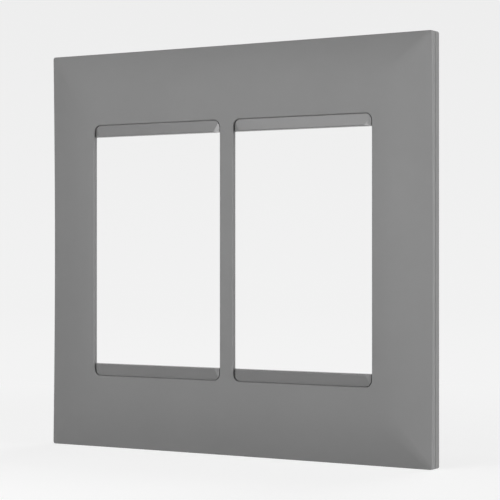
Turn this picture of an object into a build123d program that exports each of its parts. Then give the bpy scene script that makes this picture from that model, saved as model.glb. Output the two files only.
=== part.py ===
from build123d import *
import math
import os

# Driving dimensions in millimetres. The plate is drawn lying on its back: x runs across it,
# y up it and z forward from the wall plane. The last step stands it upright.
plate_width = 129.0
plate_height = 117.5
plate_depth = 6.2  # wall plane to the crest of the cover
rim_depth = 3.4  # wall plane to the front edge of the cover, at the middle of a side
corner_lift = 0.7  # how much further forward that edge stands at the corners
corner_radius = 0.6
crest_corner_radius = 4.0  # the face's outlines grow rounder, from the rim up to the level crest
edge_bevel = 0.15

# Windows: each takes a stack of three modules.
window_width = 45.0
opening_height = 67.5
mullion_width = 4.5
window_radius = 2.0
window_bevel = 0.2
window_land = 2.0  # level band round the windows, inside the border's arc

# Bars of the base frame, at the top and bottom of each window
bar_height = 3.45
bar_gap = 0.05  # shadow gap between a bar's outer edge and the cover
bar_end_gap = 0.4  # gap at each end of a bar
bar_recess = 0.06  # front edge of a bar, behind the crest
bar_fall = 0.5  # how far a bar's face slopes back to its outer edge
bar_round = 0.1
bar_end_run = 2.8  # length of the arc by which a bar's face falls to each end
bar_end_fall = 0.5
bar_lip_round = 0.3

# Shells; the two walls and the gap between them are measured straight back from the face
cover_wall = 1.4
skirt_wall = 2.2  # width of the cover's edge, where it sits on the base frame
base_wall = 1.2
nest_gap = 0.2  # room between the two shells
flange_width = 3.5  # width of the band that lies on the wall
seat_depth = 2.3  # wall plane to the seat of the cover
seam_height = 0.15
seam_width = 0.5
jamb_setback = 1.5  # the base frame stays this far behind the sides of the windows

# Hooks of the cover, which catch behind slots in the base frame, midway across the border
hook_width = 6.0
hook_thickness = 1.2
hook_barb = 0.6
hook_tip_height = 0.9
slot_clearance = 0.2
catch_gap = 0.15
side_hook_spacing = 48.0

# Claws of the base frame, which clip on to a wall bracket
claw_width = 7.0
claw_thickness = 1.2
claw_barb = 0.6
claw_tip_height = 0.8
claw_inset = 7.0  # from the edge of the opening
claw_spacing = 26.0

# Ribs
rib_thickness = 1.0
rib_clearance = 0.4  # ribs stop this far short of the wall
side_rib_setback = 4.0  # keeps the side ribs out of sight behind the windows
mullion_rib_depth = 2.3
mullion_rib_end_gap = 1.0

# Modelling allowances
overrun = 3.0  # how far a cutting form runs past what it cuts
edge_overrun = 1.0  # how far the domed form runs past the plate's edge before it is trimmed
crown_steps = 6  # outlines under the crest, through which the domed form is lofted

# Values that follow from those above
window_height = opening_height + 2 * (bar_height + bar_gap)
window_pitch = window_width + mullion_width
window_places = (-window_pitch / 2, window_pitch / 2)
windows_span = window_pitch + window_width
side_border = (plate_width - windows_span) / 2
top_border = (plate_height - window_height) / 2
crown_run = min(side_border, top_border) - window_land  # the border's arc, from the edge to where it levels
base_opening_width = windows_span + 2 * jamb_setback
bar_length = window_width - 2 * bar_end_gap
base_front = cover_wall + nest_gap
base_rear = base_front + base_wall
base_inset = skirt_wall + nest_gap


def rim_height(place, half_span):
    """Height of the rim at a place along a side: lowest in the middle, highest at the corners."""
    return rim_depth + corner_lift * (place / half_span) ** 2


def border_radius(rim):
    """Radius of the border's arc, which rises from a rim of this height and levels out at the crest."""
    drop = plate_depth - rim
    return (crown_run**2 + drop**2) / (2 * drop)


def border_height(inset, rim):
    """Height of the face at an inset from the edge, over a rim of this height."""
    radius = border_radius(rim)
    reach = max(crown_run - inset, 0)
    return plate_depth - radius + math.sqrt(radius**2 - reach**2)


def border_inset(height, rim):
    """Inset from the edge at which the face reaches a height, over a rim of this height."""
    radius = border_radius(rim)
    return crown_run - math.sqrt(radius**2 - (height - plate_depth + radius) ** 2)


def face_outline(inset):
    """Outline of the face at the height that it has at this inset, midway along a side.

    The sides bow in, because the face reaches that height nearer to the edge at the corners.
    """
    height = border_height(inset, rim_depth)
    corner_inset = border_inset(height, rim_depth + corner_lift)
    x = plate_width / 2 - corner_inset
    y = plate_height / 2 - corner_inset
    middle_x = plate_width / 2 - inset
    middle_y = plate_height / 2 - inset
    bowed = make_face(
        [
            ThreePointArc((-x, y), (0, middle_y), (x, y)),
            ThreePointArc((x, y), (middle_x, 0), (x, -y)),
            ThreePointArc((x, -y), (0, -middle_y), (-x, -y)),
            ThreePointArc((-x, -y), (-middle_x, 0), (-x, y)),
        ]
    )
    growth = (crest_corner_radius - corner_radius) / crown_run
    radius = corner_radius + growth * max(inset, 0)
    return Pos(0, 0, height) * fillet(bowed.vertices(), radius)


def make_crown():
    """The domed form on a straight foot, lofted from beyond the plate's edge up to the crest."""
    step = (crown_run + edge_overrun) / crown_steps
    outlines = [face_outline(index * step - edge_overrun) for index in range(crown_steps)]
    crest_width = plate_width - 2 * crown_run
    crest_height = plate_height - 2 * crown_run
    crest = RectangleRounded(crest_width, crest_height, crest_corner_radius)
    foot = extrude(outlines[0], -plate_depth - overrun)
    return loft(outlines + [Pos(0, 0, plate_depth) * crest]) + foot


crown_form = make_crown()


def crown(depth):
    """The domed form, this deep under the face."""
    return Pos(0, 0, -depth) * crown_form


def inset_block(inset, low, high):
    """A block with the plate's outline, moved in by an inset."""
    radius = max(corner_radius - inset, corner_radius / 2)
    outline = RectangleRounded(plate_width - 2 * inset, plate_height - 2 * inset, radius)
    return Pos(0, 0, low) * extrude(outline, high - low)


def snap_hook(width, thickness, barb, tip, catch, top):
    """A flat hook that stands in z with its barb towards +y, its beam's outer face on y = 0."""
    profile = Polygon(
        (-thickness, tip),
        (0, tip),
        (barb, catch - barb),
        (barb, catch),
        (0, catch),
        (0, top),
        (-thickness, top),
        align=None,
    )
    return Plane.YZ.offset(-width / 2) * extrude(profile, width)


def hook_stations():
    """Place and turn of each cover hook, two to a side, with its inset from the edge and the rim there."""
    stations = []
    for turn, across, span, border, spacing in (
        (0, plate_height, plate_width, top_border, window_pitch),
        (90, plate_width, plate_height, side_border, side_hook_spacing),
        (180, plate_height, plate_width, top_border, window_pitch),
        (270, plate_width, plate_height, side_border, side_hook_spacing),
    ):
        inset = border / 2
        for along in (-spacing / 2, spacing / 2):
            location = Rot(0, 0, turn) * Pos(along, across / 2 - inset, 0)
            stations.append((location, inset, rim_height(along, span / 2)))
    return stations


def make_front_cover():
    body = crown(0) & inset_block(0, seat_depth, plate_depth + overrun)
    faces = body.faces()
    domed = faces.filter_by(GeomType.BSPLINE)
    crest = faces.sort_by(Axis.Z)[-1]
    rim = (domed.edges() & (faces - domed).edges()) - crest.edges()
    body = chamfer(rim, edge_bevel)
    body -= crown(cover_wall) & inset_block(skirt_wall, 0, plate_depth)
    for place in window_places:
        window = RectangleRounded(window_width, window_height, window_radius)
        body -= Pos(place, 0, 0) * extrude(window, plate_depth + overrun)
    crest = body.faces().sort_by(Axis.Z)[-1]
    body = chamfer([edge for wire in crest.inner_wires() for edge in wire.edges()], window_bevel)

    inside_wall = crown(cover_wall / 2)
    for location, inset, rim_here in hook_stations():
        catch = border_height(inset - hook_barb, rim_here) - base_rear - catch_gap
        hook = snap_hook(hook_width, hook_thickness, hook_barb, hook_tip_height, catch, plate_depth)
        body += (location * hook) & inside_wall

    rib_length = opening_height - 2 * mullion_rib_end_gap
    rib_low = plate_depth - cover_wall - mullion_rib_depth
    rib_high = plate_depth - cover_wall / 2
    rib = extrude(Rectangle(rib_thickness, rib_length), rib_high - rib_low)
    body += Pos(0, 0, rib_low) * rib
    return body


def make_bar():
    """One bar: a face that slopes to its outer edge and its ends, standing on y = 0 at the opening."""
    front = plate_depth - bar_recess
    rear = plate_depth - base_rear
    slope = Polygon((0, rear), (bar_height, rear), (bar_height, front - bar_fall), (0, front), align=None)
    slope = fillet(slope.vertices().sort_by(Axis.Y)[-1], bar_lip_round)
    outer_corners = slope.vertices().filter_by_position(Axis.X, bar_height, bar_height)
    slope = fillet(outer_corners.sort_by(Axis.Y)[-1], bar_round)
    along = Plane.YZ.offset(-bar_length / 2) * extrude(slope, bar_length)

    half_length = bar_length / 2
    half_level = half_length - bar_end_run
    shoulder = front - bar_end_fall
    ends = make_face(
        [
            Line((-half_level, front), (half_level, front)),
            TangentArc((half_level, front), (half_length, shoulder), tangent=(1, 0)),
            Line((half_length, shoulder), (half_length, rear)),
            Line((half_length, rear), (-half_length, rear)),
            Line((-half_length, rear), (-half_length, shoulder)),
            TangentArc((-half_level, front), (-half_length, shoulder), tangent=(-1, 0)),
        ]
    )
    across = Plane.XZ * extrude(ends, -bar_height)

    plan = Pos(0, bar_height / 2) * Rectangle(bar_length, bar_height)
    plan = fillet(plan.vertices().sort_by(Axis.Y)[-2:], window_radius - bar_gap)
    return along & across & extrude(plan, plate_depth)


def make_ribs():
    """Stiffening ribs behind the base frame: one behind each pair of bars, short ones out to the flange."""
    bar_rib_place = opening_height / 2 + bar_height / 2
    rib_height = plate_depth - rib_clearance
    rib_end_inset = (base_inset + flange_width) / 2
    ribs = Part()
    for turn, start, stop, places in (
        (0, bar_rib_place, plate_height / 2 - rib_end_inset, (-window_pitch, 0, window_pitch)),
        (90, base_opening_width / 2 + side_rib_setback, plate_width / 2 - rib_end_inset, (0,)),
    ):
        for facing in (turn, turn + 180):
            for place in places:
                rib = extrude(Rectangle(rib_thickness, stop - start), rib_height)
                ribs += Rot(0, 0, facing) * Pos(place, (start + stop) / 2, rib_clearance) * rib
    bar_rib = extrude(Rectangle(base_opening_width, rib_thickness), rib_height)
    for place in (-bar_rib_place, bar_rib_place):
        ribs += Pos(0, place, rib_clearance) * bar_rib
    return ribs


def make_base_frame():
    body = inset_block(0, 0, seat_depth - seam_height)
    body += inset_block(seam_width, 0, seat_depth)
    body += crown(base_front) & inset_block(base_inset, 0, plate_depth)
    body -= crown(base_rear) & inset_block(flange_width, -overrun, plate_depth)
    body -= extrude(Rectangle(base_opening_width, opening_height), plate_depth)

    inside_wall = crown(base_front + base_wall / 2)
    body += make_ribs() & inside_wall

    bar = make_bar()
    claw_catch = plate_depth - base_rear - catch_gap
    claw = snap_hook(claw_width, claw_thickness, claw_barb, claw_tip_height, claw_catch, plate_depth)
    for facing in (0, 180):
        for place in window_places:
            window_edge = Rot(0, 0, facing) * Pos(place, opening_height / 2, 0)
            body += window_edge * bar
            for along in (-claw_spacing / 2, claw_spacing / 2):
                body += (window_edge * Pos(along, claw_inset, 0) * claw) & inside_wall

    slot_plan = Rectangle(hook_width + 2 * slot_clearance, hook_thickness + 2 * slot_clearance)
    slot = extrude(slot_plan, plate_depth)
    for location, _, _ in hook_stations():
        body -= location * Pos(0, -hook_thickness / 2, 0) * slot
    return body


os.makedirs("parts", exist_ok=True)
stand_up = Rot(90, 0, 0)
export_step(stand_up * make_front_cover(), "parts/front_cover.step")
export_step(stand_up * make_base_frame(), "parts/base_frame.step")
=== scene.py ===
import math

import bpy
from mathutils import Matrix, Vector


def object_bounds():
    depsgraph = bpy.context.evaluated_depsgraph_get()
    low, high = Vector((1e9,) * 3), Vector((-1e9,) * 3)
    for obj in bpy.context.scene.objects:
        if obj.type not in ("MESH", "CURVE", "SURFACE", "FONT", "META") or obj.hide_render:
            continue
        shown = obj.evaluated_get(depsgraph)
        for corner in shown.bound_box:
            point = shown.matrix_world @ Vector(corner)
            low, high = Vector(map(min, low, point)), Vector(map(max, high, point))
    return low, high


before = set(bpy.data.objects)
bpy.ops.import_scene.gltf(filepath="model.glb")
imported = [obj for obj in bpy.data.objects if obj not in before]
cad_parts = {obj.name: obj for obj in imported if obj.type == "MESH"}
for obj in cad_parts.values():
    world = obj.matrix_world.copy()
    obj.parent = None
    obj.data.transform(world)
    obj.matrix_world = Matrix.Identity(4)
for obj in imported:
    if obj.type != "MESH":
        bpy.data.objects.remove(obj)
cad_low, cad_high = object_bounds()
scene = bpy.context.scene
scene.view_settings.view_transform = "Standard"

# Camera, in metres and degrees: it stands to the right of the plate and looks level at it.
CAMERA_PLACE = Vector((0.2890, -0.4434, -0.0011))
CAMERA_YAW = 32.72
CAMERA_PITCH = 0.126
CAMERA_LENS = 132.51  # millimetres on the sensor below
SENSOR_WIDTH = 36.0
CLIP_START = 0.01

# Lamps: azimuth to the right of the plate's front and elevation in degrees, distance and diameter in
# metres, watts
LAMPS = {
    "front_lamp": (-5, 5, 0.35, 0.16, 0.38),
    "front_right_lamp": (12, 5, 0.35, 0.16, 0.135),
    "top_lamp": (-20, 22, 0.35, 0.16, 0.147),
    "left_lamp": (-40, 35, 1.2, 0.8, 1.4),
    "right_lamp": (90, 0, 1.2, 0.8, 18.5),
    "back_lamp": (180, 12, 1.2, 0.8, 9.0),
}
UNMIRRORED_LAMPS = ("back_lamp",)  # not mirrored in the gloss, so edges seen at a slant keep their grey

WHITE = (1, 1, 1, 1)  # colour of the backdrop and of the floor's own brightness

# Backdrop: its brightness at the foot and at the top of the picture, and the light that it sheds
BACKDROP_FOOT = 0.905
BACKDROP_TOP = 0.855
WORLD_LIGHT = 0.02

# Floor: distances in metres from the middle of the plate
FLOOR_REACH = 4.0
FLOOR_ALBEDO = 0.85
FLOOR_NEAR = 0.9  # brightness beside the plate
FLOOR_FAR = 0.883  # brightness where the floor meets the backdrop
FLOOR_LEVEL_REACH = 1.5
SHADOW_SHARE = 0.4  # how much of the lamps' light, and so of the shadow, shows beside the plate
SHADOW_REACH = 0.1
SHADOW_FADE = 0.3
LAMP_LEVEL = 0.39  # brightness that the lamps alone give the floor beside the plate

# Plastics: grey, roughness, and the depth of the mould's grain in metres
COVER_PLASTIC = (0.218, 0.55, 0.00002)
# The frame's grey is darker than the cover's: partly the frame's own grey, partly painted shade that
# darkens the bars set back in the windows.
FRAME_PLASTIC = (0.194, 0.22, 0.00001)
PLASTIC_IOR = 1.5
CLOUDING = (45.0, 3.0, 0.025)  # cells to the metre, detail, and share by which the grey varies
UNEVEN_GLOSS = (320.0, 2.0, 0.03)  # cells to the metre, detail, and how far the roughness varies
GRAIN = (5200.0, 2.0)  # cells to the metre and detail
GRAIN_STRENGTH = 0.25
NOISE_LOW, NOISE_HIGH = 0.25, 0.75  # most of a noise lies between these


def node(tree, kind, **inputs):
    """Adds a shader node; inputs are values for its sockets, with underscores for spaces."""
    made = tree.nodes.new(kind)
    for name, value in inputs.items():
        made.inputs[name.replace("_", " ")].default_value = value
    return made


def noise_band(tree, cells, detail, low, high):
    """A noise of so many cells to the metre, spread between two values."""
    place = node(tree, "ShaderNodeTexCoord")
    noise = node(tree, "ShaderNodeTexNoise", Scale=cells, Detail=detail)
    band = node(tree, "ShaderNodeMapRange", From_Min=NOISE_LOW, From_Max=NOISE_HIGH)
    band.inputs["To Min"].default_value = low
    band.inputs["To Max"].default_value = high
    tree.links.new(place.outputs["Object"], noise.inputs["Vector"])
    tree.links.new(noise.outputs["Fac"], band.inputs["Value"])
    return band.outputs["Result"]


def moulded_plastic(name, grey, roughness, grain_depth):
    """Grey moulded plastic: faint clouding of the colour, uneven gloss and the fine grain of the mould."""
    material = bpy.data.materials.new(name)
    material.use_nodes = True
    tree = material.node_tree
    shader = tree.nodes["Principled BSDF"]
    shader.inputs["IOR"].default_value = PLASTIC_IOR

    cells, detail, spread = CLOUDING
    tone = noise_band(tree, cells, detail, grey * (1 - spread), grey * (1 + spread))
    colour = node(tree, "ShaderNodeCombineColor")
    for channel in ("Red", "Green", "Blue"):
        tree.links.new(tone, colour.inputs[channel])
    tree.links.new(colour.outputs["Color"], shader.inputs["Base Color"])

    cells, detail, spread = UNEVEN_GLOSS
    gloss = noise_band(tree, cells, detail, roughness - spread, roughness + spread)
    tree.links.new(gloss, shader.inputs["Roughness"])

    cells, detail = GRAIN
    grain = noise_band(tree, cells, detail, 0.0, 1.0)
    bump = node(tree, "ShaderNodeBump", Strength=GRAIN_STRENGTH, Distance=grain_depth)
    tree.links.new(grain, bump.inputs["Height"])
    tree.links.new(bump.outputs["Normal"], shader.inputs["Normal"])
    return material


def finish_node(name, material):
    """Gives a CAD node its finished material."""
    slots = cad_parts[name].data.materials
    slots.clear()
    slots.append(material)


def joined(tree, operation, first, second):
    """The result of a sum on two values, each of which is a socket or a number."""
    made = node(tree, "ShaderNodeMath")
    made.operation = operation
    for socket, value in zip(made.inputs, (first, second)):
        if isinstance(value, bpy.types.NodeSocket):
            tree.links.new(value, socket)
        else:
            socket.default_value = value
    return made.outputs["Value"]


def seen_ray(tree):
    """One for rays that show the surroundings as they look: from the camera, off gloss or through glass."""
    path = node(tree, "ShaderNodeLightPath")
    mirrored = joined(tree, "MAXIMUM", path.outputs["Is Glossy Ray"], path.outputs["Is Transmission Ray"])
    return joined(tree, "MAXIMUM", path.outputs["Is Camera Ray"], mirrored)


def make_world():
    """A backdrop that darkens slowly towards the top, and the little light that it sheds."""
    world = bpy.data.worlds.new("studio")
    scene.world = world
    world.use_nodes = True
    tree = world.node_tree
    backdrop = tree.nodes["Background"]
    light = node(tree, "ShaderNodeBackground", Color=WHITE, Strength=WORLD_LIGHT)

    place = node(tree, "ShaderNodeTexCoord")
    axes = node(tree, "ShaderNodeSeparateXYZ")
    half_view = SENSOR_WIDTH / 2 / CAMERA_LENS
    band = node(tree, "ShaderNodeMapRange", From_Min=-half_view, From_Max=half_view)
    band.inputs["To Min"].default_value = BACKDROP_FOOT
    band.inputs["To Max"].default_value = BACKDROP_TOP
    tree.links.new(place.outputs["Generated"], axes.inputs["Vector"])
    tree.links.new(axes.outputs["Z"], band.inputs["Value"])
    tree.links.new(band.outputs["Result"], backdrop.inputs["Strength"])
    backdrop.inputs["Color"].default_value = WHITE

    mix = node(tree, "ShaderNodeMixShader")
    tree.links.new(seen_ray(tree), mix.inputs["Fac"])
    tree.links.new(light.outputs["Background"], mix.inputs[1])
    tree.links.new(backdrop.outputs["Background"], mix.inputs[2])
    tree.links.new(mix.outputs["Shader"], tree.nodes["World Output"].inputs["Surface"])


def ramp(tree, value, start, stop, first, last):
    """A value that changes smoothly from first to last while another one goes from start to stop."""
    made = node(tree, "ShaderNodeMapRange", From_Min=start, From_Max=stop, To_Min=first, To_Max=last)
    made.interpolation_type = "SMOOTHSTEP"
    tree.links.new(value, made.inputs["Value"])
    return made.outputs["Result"]


def make_floor():
    """A pale floor under the plate's lower edge, which takes its soft shadow and runs into the backdrop."""
    bpy.ops.mesh.primitive_plane_add(size=2 * FLOOR_REACH, location=(0, 0, cad_low.z))
    floor = bpy.context.object
    floor.name = "floor"
    material = bpy.data.materials.new("pale_floor")
    material.use_nodes = True
    tree = material.node_tree
    tree.nodes.remove(tree.nodes["Principled BSDF"])
    place = node(tree, "ShaderNodeTexCoord")
    length = node(tree, "ShaderNodeVectorMath")
    length.operation = "LENGTH"
    tree.links.new(place.outputs["Object"], length.inputs[0])
    distance = length.outputs["Value"]

    share = ramp(tree, distance, SHADOW_REACH, SHADOW_FADE, SHADOW_SHARE, 0.0)
    level = ramp(tree, distance, SHADOW_REACH, FLOOR_LEVEL_REACH, FLOOR_NEAR, FLOOR_FAR)
    glow = node(tree, "ShaderNodeEmission", Color=WHITE)
    lamp_part = joined(tree, "MULTIPLY", share, LAMP_LEVEL)
    tree.links.new(joined(tree, "SUBTRACT", level, lamp_part), glow.inputs["Strength"])
    shown = node(tree, "ShaderNodeBsdfDiffuse")
    tree.links.new(joined(tree, "MULTIPLY", share, FLOOR_ALBEDO), shown.inputs["Color"])
    total = node(tree, "ShaderNodeAddShader")
    tree.links.new(glow.outputs["Emission"], total.inputs[0])
    tree.links.new(shown.outputs["BSDF"], total.inputs[1])

    matt = node(tree, "ShaderNodeBsdfDiffuse", Color=(FLOOR_ALBEDO, FLOOR_ALBEDO, FLOOR_ALBEDO, 1))
    mix = node(tree, "ShaderNodeMixShader")
    tree.links.new(seen_ray(tree), mix.inputs["Fac"])
    tree.links.new(matt.outputs["BSDF"], mix.inputs[1])
    tree.links.new(total.outputs["Shader"], mix.inputs[2])
    tree.links.new(mix.outputs["Shader"], tree.nodes["Material Output"].inputs["Surface"])
    floor.data.materials.append(material)


def make_lamp(name, azimuth, elevation, distance, diameter, watts):
    """A round soft lamp that faces the middle of the plate."""
    data = bpy.data.lights.new(name, "AREA")
    data.shape = "DISK"
    data.size = diameter
    data.energy = watts
    lamp = bpy.data.objects.new(name, data)
    lamp.visible_glossy = name not in UNMIRRORED_LAMPS
    scene.collection.objects.link(lamp)
    turn, rise = math.radians(azimuth), math.radians(elevation)
    towards = Vector((math.sin(turn) * math.cos(rise), -math.cos(turn) * math.cos(rise), math.sin(rise)))
    lamp.location = towards * distance
    lamp.rotation_euler = (-towards).to_track_quat("-Z", "Y").to_euler()


def make_camera():
    """The camera at the photo's place and angle."""
    data = bpy.data.cameras.new("camera")
    data.lens = CAMERA_LENS
    data.sensor_width = SENSOR_WIDTH
    data.clip_start = CLIP_START
    camera = bpy.data.objects.new("camera", data)
    scene.collection.objects.link(camera)
    camera.location = CAMERA_PLACE
    camera.rotation_euler = (math.radians(90 + CAMERA_PITCH), 0, math.radians(CAMERA_YAW))
    scene.camera = camera


finish_node("front_cover", moulded_plastic("cover_plastic", *COVER_PLASTIC))
finish_node("base_frame", moulded_plastic("frame_plastic", *FRAME_PLASTIC))
make_world()
make_floor()
for lamp_name, setting in LAMPS.items():
    make_lamp(lamp_name, *setting)
make_camera()
